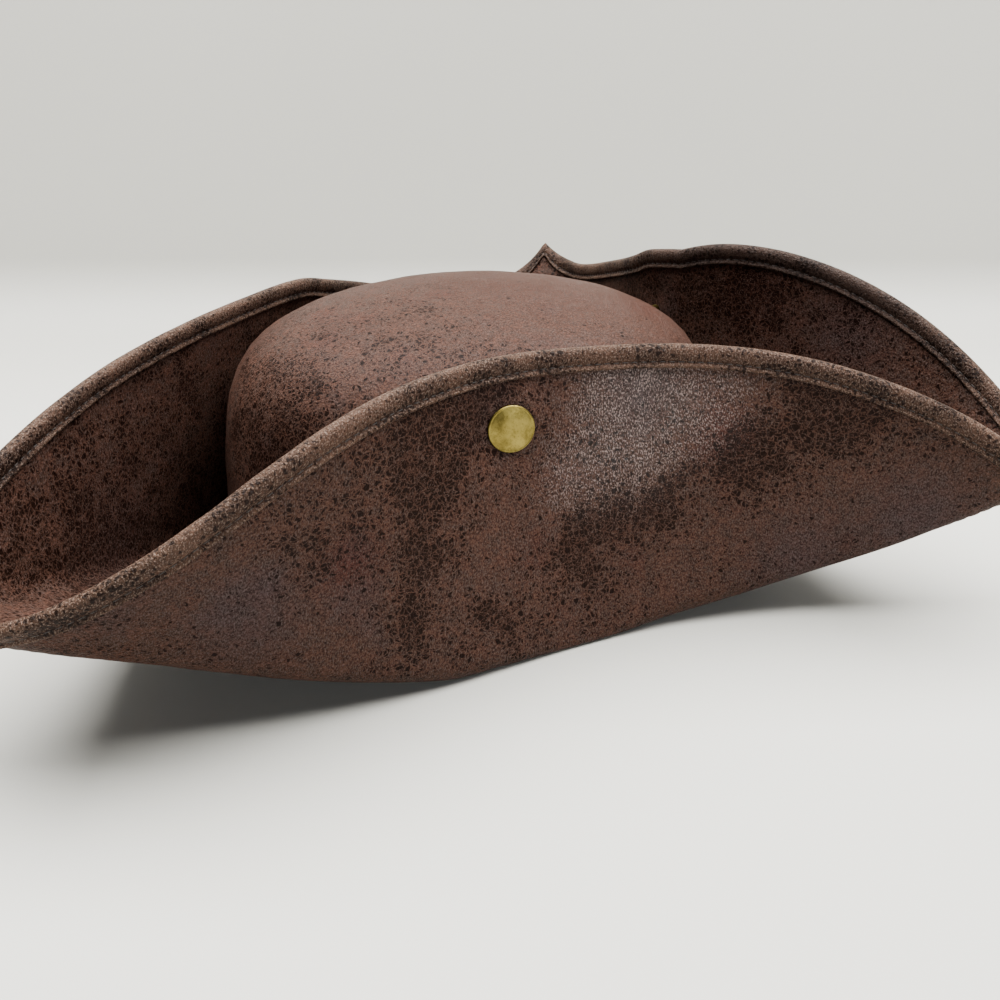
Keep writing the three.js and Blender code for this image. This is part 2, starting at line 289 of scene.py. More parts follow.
def ribs_round(per_half, crowding):
    """Ribs all round the hat, crowded towards the corners."""
    ribs = []
    for half in HALVES:
        for step in range(per_half):
            t = (step if half["side"] > 0 else per_half - step) / per_half
            ribs.append(Rib(half, 1 - (1 - t) ** crowding))
    return ribs


def strip_depths(ribs):
    """How deep the strip is along each rib: deeper where the edge runs at a slant to it."""
    depths = []
    for index, rib in enumerate(ribs):
        run = (ribs[(index + 1) % len(ribs)].edge - ribs[index - 1].edge).normalized()
        slant = rib.rising.dot(run)
        depth = BINDING_DEPTH / math.sqrt(max(1 - slant ** 2, 0.01))
        depths.append(min(depth, TIP_BINDING_DEPTH))
    return depths


def spread(start, end, count):
    return [start + (end - start) * (step + 1) / count for step in range(count)]


def brim_distances(rib):
    """Rows over the flat, round the turn and up the flap, evened out close to a corner's tip."""
    end = rib.length - SHEET_EDGE
    turn_end = min(rib.turn_end, end)
    flat_end = min(rib.flat_end, turn_end)
    folded = (spread(0, flat_end, FLAT_ROWS) + spread(flat_end, turn_end, TURN_ROWS)
              + spread(turn_end, end, FLAP_ROWS))
    even = spread(0, end, len(folded))
    evenness = rib.s ** TIP_EVENNESS
    return [0] + [a + (b - a) * evenness for a, b in zip(folded, even)]


def crown_rows(azimuth):
    """Places from the crown's top down to the brim, each with the way the sheet runs there."""
    rows = []
    small = 0.002
    for share in crown_shares():
        way = (crown_point(azimuth, min(share, 1) - small)
               - crown_point(azimuth, min(share + small, 1))).normalized()
        rows.append((crown_point(azimuth, share), way))
    out = direction(azimuth)
    centre = out * (base_radius(azimuth) + CROWN_FILLET) + UP * CROWN_START
    for step in range(FILLET_ROWS):
        angle = math.pi / 2 * step / FILLET_ROWS
        place = centre - out * CROWN_FILLET * math.cos(angle) - UP * CROWN_FILLET * math.sin(angle)
        rows.append((place, out * math.sin(angle) - UP * math.cos(angle)))
    return rows


# Soft unevenness of the leather, which everything on the sheet follows: how high it is, how often
# it comes in a millimetre, and where it starts. It is still on the table and round the studs.
SLOW_RIPPLE = dict(height=0.9, pace=0.022, start=Vector((3, 8, 1)))
QUICK_RIPPLE = dict(height=0.28, pace=0.075, start=Vector((11, 2, 5)))
CALM_HEIGHT = 4
RIPPLED_HEIGHT = 26

STUDS = []


def wave(place, ripple):
    return ripple["height"] * noise.noise(place * ripple["pace"] + ripple["start"])


def ripple_at(place):
    calm = smooth_step(CALM_HEIGHT, RIPPLED_HEIGHT, place.z)
    for stud in STUDS:
        calm *= 1 - hill((place - stud["place"]).length, CALM_REACH)
    return (wave(place, SLOW_RIPPLE) + wave(place, QUICK_RIPPLE)) * calm


def pressed(place):
    """A place of a flap, with the leather below each stud's cap turned the way the cap faces."""
    for stud in STUDS:
        aside = place - stud["place"]
        flat_reach = CAP_RADIUS * PRESSED_FROM
        share = 1 - smooth_step(flat_reach, CAP_RADIUS + PRESSED_BEYOND, aside.length)
        out = stud["out"]
        place = place - out * (share * aside.dot(stud["facing"]) / out.dot(stud["facing"]))
    return place


def columns_with_normals(columns):
    """Adds to each place of each column the sheet's normal there, and shifts it by the ripple."""
    finished = []
    for index, column in enumerate(columns):
        before = columns[index - 1]
        after = columns[(index + 1) % len(columns)]
        rows = []
        for row, (place, way) in enumerate(column):
            across = after[row][0] - before[row][0]
            normal = way.cross(across)
            normal = normal.normalized() if normal.length > 1e-9 else UP.copy()
            rows.append((place + normal * ripple_at(place), normal))
        finished.append(rows)
    return finished


# Wear of the leather, with some painted light. Each stain has its place in millimetres, how far it
# spreads, and how much dark crackle, red, grey-blue, polish with its painted glints, pale crown
# colour, and grime on the strip it brings.
STAINS = [
    dict(at=(-15, -83, 92), spread=13, dark=0.5),
    dict(at=(-38, -104, 83), spread=15, dark=0.5),
    dict(at=(-26, -93, 78), spread=12, dark=0.4),
    dict(at=(-34, -102, 66), spread=13, dark=0.5),
    dict(at=(-37, -107, 46), spread=13, dark=0.6),
    dict(at=(-38, -109, 24), spread=10, dark=0.7),
    dict(at=(-60, -125, 60), spread=13, dark=0.25),
    dict(at=(-15, -95, 20), spread=9, dark=0.6),
    dict(at=(15, -74, 41), spread=9, dark=0.7),
    dict(at=(6, -79, 31), spread=9, dark=0.5),
    dict(at=(39, -66, 43), spread=10, dark=0.8),
    dict(at=(64, -61, 56), spread=12, dark=0.7),
    dict(at=(87, -61, 67), spread=11, dark=0.6),
    dict(at=(90, -62, 86), spread=13, dark=0.6),
    dict(at=(108, -64, 74), spread=14, dark=0.5),
    dict(at=(125, -70, 74), spread=12, dark=0.3),
    dict(at=(24, -64, 84), spread=15, dark=-0.3, polish_and_painted_glints=0.9),
    dict(at=(31, -65, 66), spread=18, dark=-0.15, polish_and_painted_glints=0.8),
    dict(at=(10, -72, 58), spread=14, dark=-0.2, polish_and_painted_glints=0.6),
    dict(at=(54, -60, 78), spread=16, polish_and_painted_glints=0.6),
    dict(at=(-8, -86, 44), spread=12, dark=-0.3),
    dict(at=(54, -65, 18), spread=24, dark=-0.45),
    dict(at=(92, -62, 32), spread=20, dark=-0.35),
    dict(at=(126, -66, 48), spread=22, dark=-0.4),
    dict(at=(-86, -142, 50), spread=26, dark=-0.3),
    dict(at=(-60, -123, 24), spread=16, dark=-0.35),
    dict(at=(-54, -119, 50), spread=9, red=0.9),
    dict(at=(56, -60, 65), spread=8, red=0.9),
    dict(at=(-3, -82, 36), spread=7, red=0.4),
    dict(at=(124, -64, 38), spread=18, blue=0.9),
    dict(at=(88, -62, 22), spread=16, blue=0.8),
    dict(at=(-78, -134, 41), spread=14, blue=0.8),
    dict(at=(-108, -156, 59), spread=12, blue=0.8),
    dict(at=(30, -62, 84), spread=13, blue=0.8),
    dict(at=(23, -5, 98), spread=46, dark=-0.45, pale=0.7),
    dict(at=(-20, 5, 102), spread=46, dark=-0.4, pale=0.6),
    dict(at=(-24, -66, 74), spread=20, pale=0.3),
    dict(at=(-83, -57, 77), spread=28, dark=0.2),
    dict(at=(-96, -52, 55), spread=22, dark=0.3),
    dict(at=(73, 27, 92), spread=20, dark=0.4),
    dict(at=(85, 16, 98), spread=14, dark=0.3, red=0.5),
    dict(at=(114, -5, 88), spread=16, blue=0.6),
    dict(at=(70, 36, 102), spread=38, grime=0.7),
    dict(at=(118, 0, 96), spread=38, grime=0.7),
    # These two darken the left flap's inner side near its corner: dark crackle, partly painted
    # shade
    dict(at=(-147, -90, 28), spread=24, dark=0.5),
    dict(at=(-143, -57, 24), spread=22, dark=0.5, blue=0.4),
]
WEAR = ("dark", "red", "blue", "polish_and_painted_glints", "pale")


def wear_at(place, kinds):
    wear = dict.fromkeys(kinds, 0.0)
    for stain in STAINS:
        share = hill((place - Vector(stain["at"])).length, stain["spread"])
        for kind in kinds:
            wear[kind] += stain.get(kind, 0) * share
    return wear


# Making pieces

def linked(name, data):
    made = bpy.data.objects.new(name, data)
    bpy.context.scene.collection.objects.link(made)
    return made


def smooth_object(name, bm, materials):
    mesh = bpy.data.meshes.new(name)
    bm.to_mesh(mesh)
    bm.free()
    mesh.shade_smooth()
    for material in materials:
        mesh.materials.append(material)
    return linked(name, mesh)


def finish_piece(name, bm, materials):
    piece = smooth_object(name, bm, materials)
    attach(piece, "root")
    return piece


def laid_grid(columns, lengths, closed_section, layers):
    """A grid laid over columns of places in millimetres, joined round the hat.

    lengths holds, for each column, how far each of its places is out along the section. Layers
    are the names of values that the grid's places are to hold."""
    bm = bmesh.new()
    uv = bm.loops.layers.uv.new("along_sheet")
    for layer in layers:
        bm.verts.layers.float.new(layer)
    across = len(columns)
    down = len(columns[0]) - (0 if closed_section else 1)
    bmesh.ops.create_grid(bm, x_segments=across, y_segments=down, size=1)
    cell = {}
    for vert in bm.verts:
        column = round((vert.co.x + 1) / 2 * across)
        row = round((vert.co.y + 1) / 2 * down)
        cell[vert] = (column, row)
    edge = measured([column[-1] for column in columns + columns[:1]])
    for face in bm.faces:
        for loop in face.loops:
            column, row = cell[loop.vert]
            out = lengths[column % across]
            loop[uv].uv = (edge[column] * MM, out[row % len(out)] * MM)
    for vert, (column, row) in cell.items():
        places = columns[column % across]
        vert.co = (places[row % len(places)] + CROWN_CENTRE) * MM
    return bm, cell


def leather_sheet(ribs, materials):
    """Crown and brim as one sheet, with the materials of the brim's inner side, of the leather
    outside and of the crown's backing."""
    columns = [crown_rows(rib.azimuth) + [rib.at(out) for out in brim_distances(rib)]
               for rib in ribs]
    crown_count = CROWN_TOP_ROWS + CROWN_WALL_ROWS
    places = [[place for place, _ in column] for column in columns_with_normals(columns)]
    for column in places:
        column[0] = UP * (CROWN_HEIGHT - WALL / 2)
        column[crown_count + 1:] = [pressed(place) for place in column[crown_count + 1:]]
    bm, cell = laid_grid(places, [measured(column) for column in places], False, (*WEAR, "corner"))
    layers = {kind: bm.verts.layers.float[kind] for kind in WEAR}
    corner = bm.verts.layers.float["corner"]
    for vert, (column, row) in cell.items():
        wear = wear_at(vert.co / MM, WEAR)
        for kind, layer in layers.items():
            vert[layer] = wear[kind]
        if row > crown_count:
            vert[corner] = ribs[column % len(ribs)].s
    # The sheet's other side takes the material after its own: below the brim the leather, and
    # inside the crown the backing
    for face in bm.faces:
        face.material_index = 1 if max(cell[vert][1] for vert in face.verts) <= crown_count else 0
    bmesh.ops.remove_doubles(bm, verts=bm.verts, dist=1e-6)
    bm.normal_update()
    top = max(bm.faces, key=lambda face: face.calc_center_median().z)
    if top.normal.z > 0:
        bmesh.ops.reverse_faces(bm, faces=bm.faces)
    sheet = finish_piece("leather_sheet", bm, materials)
    solidify = sheet.modifiers.new("wall", "SOLIDIFY")
    solidify.thickness = WALL * MM
    solidify.offset = 0
    solidify.material_offset = 1
    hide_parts("hat_body")


# The strip's section: how far in from the outline, and how far from the sheet's middle. From the
# folded lip over the stitched groove and the rounded edge to the same on the other side.
STRIP_SIDE = [
    (7.1, 0.95), (7.38, 1.25), (7.42, 1.7), (7.15, 2.0), (6.7, 2.05), (6.15, 1.84), (5.75, 1.58),
    (5.4, 1.5), (5.05, 1.6), (4.6, 1.8), (3.9, 1.97), (3.0, 2.06), (2.0, 2.05), (1.1, 1.83),
    (0.4, 1.3), (0.08, 0.65),
]
STRIP_INSIDE = [(1.2, -0.95), (1.2, 0.95)]


def strip_section():
    far = [(inwards, -height) for inwards, height in reversed(STRIP_SIDE)]
    return STRIP_SIDE + [(0, 0)] + far + STRIP_INSIDE


def edge_lengths(ribs):
    return measured([rib.edge for rib in ribs + ribs[:1]])


def strip_frames(ribs, depths):
    """For each rib, the places and normals of the sheet below the strip's section."""
    section = strip_section()
    columns = [[rib.at(rib.length - inwards * depth / BINDING_DEPTH) for inwards, _ in section]
               for rib, depth in zip(ribs, depths)]
    return columns_with_normals(columns)


def strip_wear(inwards, height):
    """How rubbed the strip is at a place of its section, with a painted highlight along the lip's
    ridge, and how dark it is from dirt and painted shade under the lip and in the stitched groove.
    """
    # Rubbed lighter round the outer bend, and a painted highlight along the lip's ridge
    rub_and_ridge_highlight = hill(inwards, BEND_WEAR_REACH) + 0.9 * hill(inwards - LIP_RIDGE, LIP_RIDGE_REACH)
    # Under the lip, dirt and a painted shadow; in the stitched groove, painted shade
    if inwards > LIP_UNDERSIDE and abs(height) < LIP_UNDERSIDE_HEIGHT:
        return rub_and_ridge_highlight, 1
    return rub_and_ridge_highlight, 0.5 * hill(inwards - STITCH_DEPTH, GROOVE_REACH)


def edge_strip(ribs, depths, material):
    """The strip folded over the brim's edge, drawn in a little by each stitch."""
    section = strip_section()
    lengths = edge_lengths(ribs)
    pitch = lengths[-1] / round(lengths[-1] / STITCH_PITCH)
    columns = []
    for index, column in enumerate(strip_frames(ribs, depths)):
        pull = 0.5 - 0.5 * math.cos(2 * math.pi * lengths[index] / pitch)
        places = []
        for (place, normal), (inwards, height) in zip(column, section):
            pucker = PUCKER * hill(inwards - STITCH_DEPTH, PUCKER_REACH) * pull
            if abs(height) <= PUCKERED_HEIGHT:
                pucker = 0
            places.append(place + normal * math.copysign(abs(height) - pucker, height))
        columns.append(places)
    out = measured(columns[0])
    bm, cell = laid_grid(columns, [out] * len(columns), True, ["rub_and_ridge_highlight", "seam_dirt_and_shade", "grime"])
    rub_and_ridge_highlight = bm.verts.layers.float["rub_and_ridge_highlight"]
    seam_dirt_and_shade = bm.verts.layers.float["seam_dirt_and_shade"]
    grime = bm.verts.layers.float["grime"]
    for vert, (_, row) in cell.items():
        vert[rub_and_ridge_highlight], vert[seam_dirt_and_shade] = strip_wear(*section[row % len(section)])
        vert[grime] = wear_at(vert.co / MM, ["grime"])["grime"]
    bmesh.ops.remove_doubles(bm, verts=bm.verts, dist=1e-7)
    bmesh.ops.recalc_face_normals(bm, faces=bm.faces)
    strip = finish_piece("edge_strip", bm, [material])
    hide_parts("brim_binding")


def edge_stitches(ribs, depths, material):
    """A row of sunk stitches on each side of the strip."""
    lengths = edge_lengths(ribs)
    count = round(lengths[-1] / STITCH_PITCH)
    frames = columns_with_normals([[rib.at(rib.length - STITCH_DEPTH * depth / BINDING_DEPTH)]
                                   for rib, depth in zip(ribs, depths)])
    size = Matrix.Diagonal((STITCH_LENGTH / 2, STITCH_THICKNESS / 2, STITCH_THICKNESS / 2, 1))
    bm = bmesh.new()
    index = 0
    for stitch in range(count):
        middle = stitch * lengths[-1] / count
        while index + 1 < len(lengths) and lengths[index + 1] < middle:
            index += 1
        share = (middle - lengths[index]) / (lengths[index + 1] - lengths[index])
        place, normal = frames[index % len(frames)][0]
        after, after_normal = frames[(index + 1) % len(frames)][0]
        before = frames[index - 1][0][0]
        along = (after - before).normalized()
        spot = place.lerp(after, share)
        lean = normal.lerp(after_normal, share).normalized()
        across = lean.cross(along).normalized()
        turn = Matrix((along, across, lean)).transposed().to_4x4()
        for side in (-1, 1):
            seat = spot + lean * side * STITCH_HEIGHT + CROWN_CENTRE
            matrix = Matrix.Scale(MM, 4) @ Matrix.Translation(seat) @ turn @ size
            bmesh.ops.create_icosphere(bm, subdivisions=1, radius=1, matrix=matrix)
    finish_piece("edge_stitches", bm, [material])


# The studs

def stud_seat(flap, ribs):
    """Where a stud goes through a flap's middle, its way, and where it meets the crown."""
    index = next(i for i, rib in enumerate(ribs) if rib.flap == flap and rib.s == 0)
    rib = ribs[index]
    drop = STUD_DROP + rib.crest
    place = rib.at(rib.length - drop)[0]
    after = ribs[(index + SEAT_RIBS) % len(ribs)]
    before = ribs[index - SEAT_RIBS]
    across = after.at(after.length - drop)[0] - before.at(before.length - drop)[0]
    outwards = across.cross(rib.rising).normalized()
    crown_spot = place.copy()
    # A few steps along the stud bring the spot onto the crown
    for _ in range(4):
        way = direction(azimuth_of(crown_spot))
        share = (crown_spot.z - CROWN_START) / CROWN_RISE
        between = crown_spot.dot(way) - crown_radius(azimuth_of(crown_spot), share)
        crown_spot -= outwards * between / way.dot(outwards)
    azimuth = azimuth_of(crown_spot)
    aside = 0.05
    round_crown = crown_point(azimuth + aside, share) - crown_point(azimuth - aside, share)
    facing = outwards.lerp(round_crown.cross(UP).normalized(), STUD_PULL).normalized()
    return dict(place=place, out=outwards, facing=facing, crown_spot=crown_spot)


def turned_piece(name, outline, place, way, material, nodes):
    """Spins an outline of radii and heights round an axis, and sets it at a place."""
    bm = bmesh.new()
    verts = [bm.verts.new((radius, 0, height)) for radius, height in outline]
    edges = [bm.edges.new(pair) for pair in zip(verts, verts[1:])]
    bmesh.ops.spin(bm, geom=verts + edges, cent=(0, 0, 0), axis=(0, 0, 1),
                   angle=2 * math.pi, steps=TURNED_STEPS, use_merge=True, use_duplicate=False)
    bmesh.ops.remove_doubles(bm, verts=bm.verts, dist=1e-4)
    bmesh.ops.recalc_face_normals(bm, faces=bm.faces)
    turn = UP.rotation_difference(way).to_matrix().to_4x4()
    seat = Matrix.Scale(MM, 4) @ Matrix.Translation(place + CROWN_CENTRE) @ turn
    bmesh.ops.transform(bm, matrix=seat, verts=bm.verts)
    piece = finish_piece(name, bm, [material])
    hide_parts(*nodes)


def cap_outline():
    """A rolled rim, and a low dome inside it that starts a little below the rim's top."""
    roll = CAP_RIM / 2
    rim_steps = 10
    rolled = [(CAP_RADIUS - roll + roll * math.sin(angle), roll - roll * math.cos(angle))
              for angle in (math.pi * step / rim_steps for step in range(rim_steps + 1))]
    dome_radius = CAP_RADIUS - CAP_RIM * 0.62
    dome_foot = CAP_RIM * 0.86
    dome_rise = (CAP_HEIGHT - CAP_RIM) * 0.6
    domed = [(dome_radius * share, dome_foot + dome_rise * (1 - share ** 2.6))
             for share in (1, 0.97, 0.93, 0.86, 0.76, 0.64, 0.5, 0.34, 0.17, 0)]
    return [(0, 0)] + rolled + domed


def post_outline(length):
    """From the flange inside the crown up to the underside of the cap."""
    flange = FLANGE_THICKNESS
    return [
        (0, -flange * 0.3), (1.1, -flange * 0.3), (1.5, 0), (1.8, -flange * 0.15),
        (2.3, -flange * 0.55), (2.9, -flange * 0.5), (3.6, -flange * 0.1),
        (FLANGE_RADIUS - 0.35, 0.0), (FLANGE_RADIUS, flange * 0.4),
        (FLANGE_RADIUS - 0.2, flange * 0.85), (FLANGE_RADIUS - 0.7, flange),
        (POST_RADIUS + 0.3, flange), (POST_RADIUS, flange + 0.3), (POST_RADIUS, length),
        (0, length),
    ]


# Finishes

def srgb(red, green, blue):
    def linear(value):
        value /= 255
        return value / 12.92 if value <= 0.04045 else ((value + 0.055) / 1.055) ** 2.4
    return (linear(red), linear(green), linear(blue), 1.0)


# How often each pattern comes in a metre. A pair is along the brim's edge, and out to it.
GRAIN = 1500
PEBBLES = 1150
FINE_NET = 640
COARSE_NET = 370
NET_WARP = 380
MOTTLE = 230
PATCH_EDGES = 105
DENTS = 75
HUES = 28
PATCHES = 19
GLINTS = (2200, 1250)
FLAP_CREASES = (700, 220)
CORNER_CREASES = (80, 480)
STRIP_GRAIN = 1050
STRIP_PEBBLES = 1300
STRIP_NET = 560
STRIP_NET_WARP = 500
STRIP_PATCHES = 60
STRIP_GLINTS = (2100, 1700)
STRIP_CREASES = (800, 260)
WEAVE = 1500
FUZZ = 420
TWIST = 2600
BRASS_SPECKS = 2100
TARNISH = 210

# How far the nets are pushed out of shape, in metres
NET_PUSH = 0.0028
STRIP_NET_PUSH = 0.002

# Colours of the leather, from its worn ground up to the dark top coat
GROUND = srgb(75, 51, 42)
GROUND_SHADE = srgb(56, 40, 33)
GROUND_IN_CRACKLE = srgb(92, 64, 52)
CROWN_GROUND = srgb(64, 42, 34)
RED_STAIN = srgb(66, 31, 25)
BLUE_STAIN = srgb(56, 49, 53)
DARK_GRAIN = srgb(20, 10, 7)
# Painted shade in the pits of the grain where the leather is polished
PAINTED_PIT_SHADE = srgb(24, 13, 11)
# Painted glints where the leather is polished
PAINTED_GLINT = srgb(132, 114, 109)
TOP_COAT = srgb(13, 4, 2)

# Colours of the edge strip
STRIP_GROUND = srgb(74, 53, 43)
STRIP_SHADE = srgb(52, 36, 29)
# Rubbed lighter round the bend, and a painted highlight along the lip's ridge
STRIP_RUB_AND_HIGHLIGHT = srgb(88, 68, 54)
STRIP_DARK_GRAIN = srgb(30, 21, 18)
# Painted glints on the strip
STRIP_PAINTED_GLINT = srgb(134, 116, 104)
GRIME = srgb(36, 28, 26)
# Dirt and painted shadow under the lip, and painted shade in the stitched groove
SEAM_DIRT_AND_SHADE = srgb(16, 8, 6)
STRIP_COAT = srgb(13, 5, 3)

# Colours of the backing, the thread and the studs
BACKING = srgb(58, 46, 41)
BACKING_FUZZ = srgb(84, 68, 60)
BACKING_GAPS = srgb(40, 32, 29)
THREAD = srgb(20, 14, 12)
THREAD_LIGHT = srgb(38, 28, 23)
BRASS = srgb(134, 119, 62)
BRASS_TARNISHED = srgb(88, 76, 34)
BRASS_SPECK = srgb(78, 66, 26)

# How strongly the leather itself mirrors the room
DULL = 0.03


class Finish:
    """A material whose nodes are made and joined by short calls."""

    def __init__(self, name):
        self.material = bpy.data.materials.new(name)
        self.material.use_nodes = True
        self.tree = self.material.node_tree
        self.shader = self.tree.nodes["Principled BSDF"]
        self.place = self.add("ShaderNodeTexCoord").outputs["Object"]

    def add(self, kind, inputs=(), **settings):
        node = self.tree.nodes.new(kind)
        for key, value in settings.items():
            setattr(node, key, value)
        for key, value in dict(inputs).items():
            self.put(node.inputs[key], value)
        return node

    def put(self, socket, value):
        if isinstance(value, bpy.types.NodeSocket):
            self.tree.links.new(value, socket)
        else:
            socket.default_value = value

    def set(self, **sockets):
        for key, value in sockets.items():
            self.put(self.shader.inputs[key.replace("_", " ")], value)

    def calc(self, operation, a, b, clamp=False):
        node = self.add("ShaderNodeMath", {0: a, 1: b}, operation=operation, use_clamp=clamp)
        return node.outputs[0]

    def weighted(self, total, *parts, middle=0.0):
        """Adds to a total each part, counted from its middle, times its weight."""
        for value, weight in parts:
            part = self.calc("MULTIPLY", self.calc("SUBTRACT", value, middle), weight)
            total = self.calc("ADD", total, part)
        return total

    def between(self, value, low, high, start=0.0, end=1.0):
        """Goes softly from start to end while the value goes from low to high."""
        node = self.add("ShaderNodeMapRange", {
            "Value": value, "From Min": low, "From Max": high, "To Min": start, "To Max": end,
        }, interpolation_type="SMOOTHSTEP")
        return node.outputs["Result"]

    def noise(self, scale, detail, roughness, colour=False):
        node = self.add("ShaderNodeTexNoise", {
            "Vector": self.place, "Scale": scale, "Detail": detail, "Roughness": roughness,
        })
        return node.outputs["Color" if colour else "Fac"]

    def drawn_noise(self, scales):
        """A noise laid on the unrolled sheet, with a scale along its edge and one outwards."""
        uv = self.add("ShaderNodeUVMap", uv_map="along_sheet").outputs["UV"]
        place = self.add("ShaderNodeMapping", {"Vector": uv, "Scale": (*scales, 1)})
        node = self.add("ShaderNodeTexNoise", {
            "Vector": place.outputs["Vector"], "Scale": 1.0, "Detail": 1.0, "Roughness": 0.6,
        }, noise_dimensions="2D")
        return node.outputs["Fac"]

    def cells(self, scale, place=None, feature="DISTANCE_TO_EDGE"):
        node = self.add("ShaderNodeTexVoronoi", {
            "Vector": place or self.place, "Scale": scale}, feature=feature)
        return node.outputs["Distance"]

    def mix(self, share, a, b):
        # A mix node's inputs 6 and 7, and its output 2, are those for colours
        node = self.add("ShaderNodeMix", {0: share, 6: a, 7: b}, data_type="RGBA")
        return node.outputs[2]

    def warped(self, scale, reach):
        """The place, pushed about by a noise, so that a pattern of cells turns irregular."""
        push = self.noise(scale, 1.0, 0.6, colour=True)
        centred = self.add("ShaderNodeVectorMath", {0: push, 1: (0.5, 0.5, 0.5)},
                           operation="SUBTRACT")
        scaled = self.add("ShaderNodeVectorMath", {0: centred.outputs[0], "Scale": reach},
                          operation="SCALE")
        moved = self.add("ShaderNodeVectorMath", {0: self.place, 1: scaled.outputs[0]},
                         operation="ADD")
        return moved.outputs[0]

    def attribute(self, name):
        return self.add("ShaderNodeAttribute", attribute_name=name).outputs["Fac"]

    def bump(self, height, distance, strength=1.0, under=None):
        node = self.add("ShaderNodeBump", {
            "Height": height, "Distance": distance, "Strength": strength})
        if under is not None:
            self.put(node.inputs["Normal"], under)
        return node.outputs["Normal"]


def leather_finish(name, darkness):
    """Brown leather whose dark top coat has worn off along a net of fine cracks, with painted
    glints and painted shade in the grain's pits where it is polished.
    """
    skin = Finish(name)
    polish_and_painted_glints = skin.attribute("polish_and_painted_glints")
    grain = skin.noise(GRAIN, 2, 0.7)
    patches = skin.noise(PATCHES, 2, 0.6)
    patch_edges = skin.noise(PATCH_EDGES, 3, 0.75)
    density = skin.calc("ADD", skin.attribute("dark"), darkness)
    density = skin.weighted(density, (patches, 1.3), (patch_edges, 1.9), middle=0.5)
    density = skin.calc("MAXIMUM", skin.calc("MINIMUM", density, 1.0), 0.0)

    # The coat is left between the cracks of two crossing nets, and closes up where it is dense
    place = skin.warped(NET_WARP, NET_PUSH)
    fine_cells = skin.calc("MULTIPLY", skin.cells(FINE_NET, place), 1.25)
    cells = skin.calc("MINIMUM", skin.cells(COARSE_NET, place), fine_cells)
    left = skin.weighted(-0.335, (density, 0.3), (cells, 1.0))
    left = skin.weighted(left, (grain, 0.55), middle=0.5)
    coat = skin.between(left, -0.04, 0.07)

    # The worn ground, with soft changes of hue
    mottle = skin.noise(MOTTLE, 2, 0.75)
    ground = skin.mix(skin.between(mottle, 0.3, 0.7), GROUND, GROUND_SHADE)
    ground = skin.mix(skin.between(density, 0.55, 1, 0, 0.35), ground, GROUND_IN_CRACKLE)
    ground = skin.mix(skin.attribute("pale"), ground, CROWN_GROUND)
    hue = skin.noise(HUES, 2, 0.6)
    warm = skin.calc("ADD", skin.attribute("red"), skin.between(hue, 0.58, 0.75, 0, 0.4))
    cool = skin.calc("ADD", skin.attribute("blue"), skin.between(hue, 0.42, 0.25, 0, 0.5))
    ground = skin.mix(skin.calc("MULTIPLY", warm, 0.7, True), ground, RED_STAIN)
    ground = skin.mix(skin.calc("MULTIPLY", cool, 0.6, True), ground, BLUE_STAIN)
    ground = skin.mix(skin.between(grain, 0.36, 0.66, 0.75, 0.0), ground, DARK_GRAIN)

    # Where it is polished, painted shade darkens the pits of the grain and painted glints light
    # the points between them
    points = skin.weighted(skin.drawn_noise(GLINTS), (mottle, 0.4), middle=0.5)
    painted_glints = skin.calc("MULTIPLY", skin.between(points, 0.52, 0.68),
                     skin.between(polish_and_painted_glints, 0, 0.8, 0.13, 0.7))
    pit_shade = skin.between(grain, 0.5, 0.38, 0, skin.between(polish_and_painted_glints, 0, 0.8, 0.1, 0.8))
    ground = skin.mix(pit_shade, ground, PAINTED_PIT_SHADE)
    ground = skin.mix(painted_glints, ground, PAINTED_GLINT)
    skin.set(Base_Color=skin.mix(skin.calc("MULTIPLY", coat, 0.95), ground, TOP_COAT))
    skin.set(Roughness=skin.between(grain, 0.3, 0.7, 0.4, 0.55), Specular_IOR_Level=DULL)
    skin.set(Coat_Weight=skin.between(polish_and_painted_glints, 0, 1, 0.02, 0.4), Coat_Roughness=0.16)

    # Relief, in millimetres: pebbles, broad unevenness, and fine creases up the flap and towards
    # the corners
    pebbles = skin.noise(PEBBLES, 2, 0.7)
    creases = skin.drawn_noise(FLAP_CREASES)
    corner = skin.between(skin.attribute("corner"), 0.5, 0.95)
    corner_creases = skin.calc("MULTIPLY", skin.drawn_noise(CORNER_CREASES), corner)
    height = skin.weighted(0.0, (pebbles, skin.between(polish_and_painted_glints, 0, 1, 0.4, 1.0)),
                           (skin.noise(DENTS, 2, 0.5), 0.5),
                           (creases, skin.between(polish_and_painted_glints, 0, 1, 0.05, 0.8)),
                           (corner_creases, 0.34))
    relief = skin.bump(height, MM)
    skin.set(Normal=relief, Coat_Normal=relief)
    return skin.material


def lining_finish():
    """The matt woven back of the leather, which shows inside the crown."""
    back = Finish("crown_backing")
    threads = back.cells(WEAVE, feature="F1")
    fuzz = back.noise(FUZZ, 5, 0.7)
    colour = back.mix(back.between(fuzz, 0.3, 0.7), BACKING, BACKING_FUZZ)
    colour = back.mix(back.between(threads, 0.1, 0.6, 0.0, 0.5), colour, BACKING_GAPS)
    back.set(Base_Color=colour, Roughness=0.9)
    back.set(Normal=back.bump(threads, 0.0003, 0.6, back.bump(fuzz, 0.0004, 0.5)))
    return back.material


